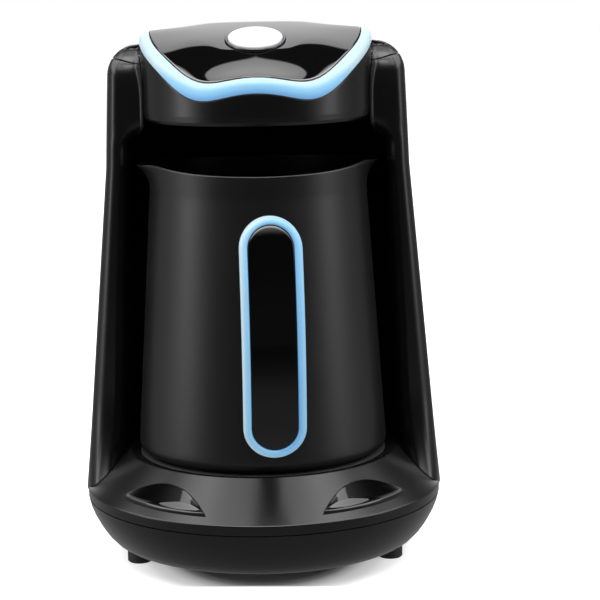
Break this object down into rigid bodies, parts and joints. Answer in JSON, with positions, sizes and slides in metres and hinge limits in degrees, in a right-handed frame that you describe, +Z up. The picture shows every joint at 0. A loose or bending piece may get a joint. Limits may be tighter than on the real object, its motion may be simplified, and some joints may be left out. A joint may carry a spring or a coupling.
{
  "type": "automatic coffee machine",
  "caption": "Small automatic coffee machine: a tall pot with side spouts stands on a round heated base under an overhanging round head with a sloped panel and a push button.",
  "frame": {"origin": "on the surface it stands on, under the centre of its bounding box; the pot's axis is 3.2 mm in front of it", "axes": "+Z up, -Y to the front, where the handle and the button are, +X to the right as seen from the front"},
  "size_m": [0.1744, 0.2036, 0.26],
  "materials": {
    "body_grey": "satin, dark warm grey",
    "black": "matt black",
    "gloss": "high gloss black",
    "blue": "satin, pale sky blue",
    "white": "gloss white",
    "bezel": "satin dark grey",
    "rubber": "matt",
    "steel": "satin",
    "alloy": "satin",
    "board": "green lacquer"
  },
  "bodies": {
    "machine": {"base_tray": "body_grey", "base_cover": "body_grey", "leaf_pad_left": "gloss", "leaf_pad_right": "gloss", "rubber_feet": "rubber", "centre_foot": "rubber", "base_screws": "steel", "cord_gland": "rubber", "seat_seal": "rubber", "heater_plate": "alloy", "heating_element": "steel", "heater_studs": "steel", "heat_shield": "steel", "sensor_holder": "black", "sensor_spring": "steel", "thermal_fuse": "white", "power_board": "board", "power_supply": "gloss", "relay": "blue", "mains_terminal": "board", "capacitors": "black", "power_board_screws": "steel", "wire_loom": "rubber", "left_wing": "body_grey", "right_wing": "body_grey", "rear_cover": "body_grey", "rear_screws": "steel", "top_cover": "body_grey", "bay_liner": "black", "head_drum": "body_grey", "head_floor": "black", "sensor_window": "gloss", "foam_sensor": "board", "head_band": "blue", "top_panel": "gloss", "button_bezel": "bezel", "button_spring": "steel", "switch_body": "black", "control_board": "board", "control_board_screws": "steel", "button_lamps": "white", "buzzer": "black"},
    "pot": {"pot_jacket": "body_grey", "pot_cup": "black", "pot_base": "steel", "handle_shell": "body_grey", "handle_trim": "blue", "handle_inlay": "gloss", "handle_screws": "steel"},
    "button": {"button_cap": "white", "switch_plunger": "white"},
    "sensor": {"temperature_sensor": "alloy"}
  },
  "joints": [
    {"name": "pot_slide", "type": "slide", "parent": "machine", "child": "pot", "axis": [0, -0.9877, 0.1564], "range_m": [0, 0.2]},
    {"name": "button_press", "type": "slide", "parent": "machine", "child": "button", "axis": [0, -0.3338, 0.9426], "range_m": [-0.0012, 0], "stiffness_N_per_m": 300, "springref_m": 0.0015, "deforming": ["button_spring"]},
    {"name": "sensor_plunge", "type": "slide", "parent": "machine", "child": "sensor", "axis": [0, 0, 1], "range_m": [-0.0015, 0], "stiffness_N_per_m": 400, "springref_m": 0.001, "deforming": ["sensor_spring"]}
  ]
}
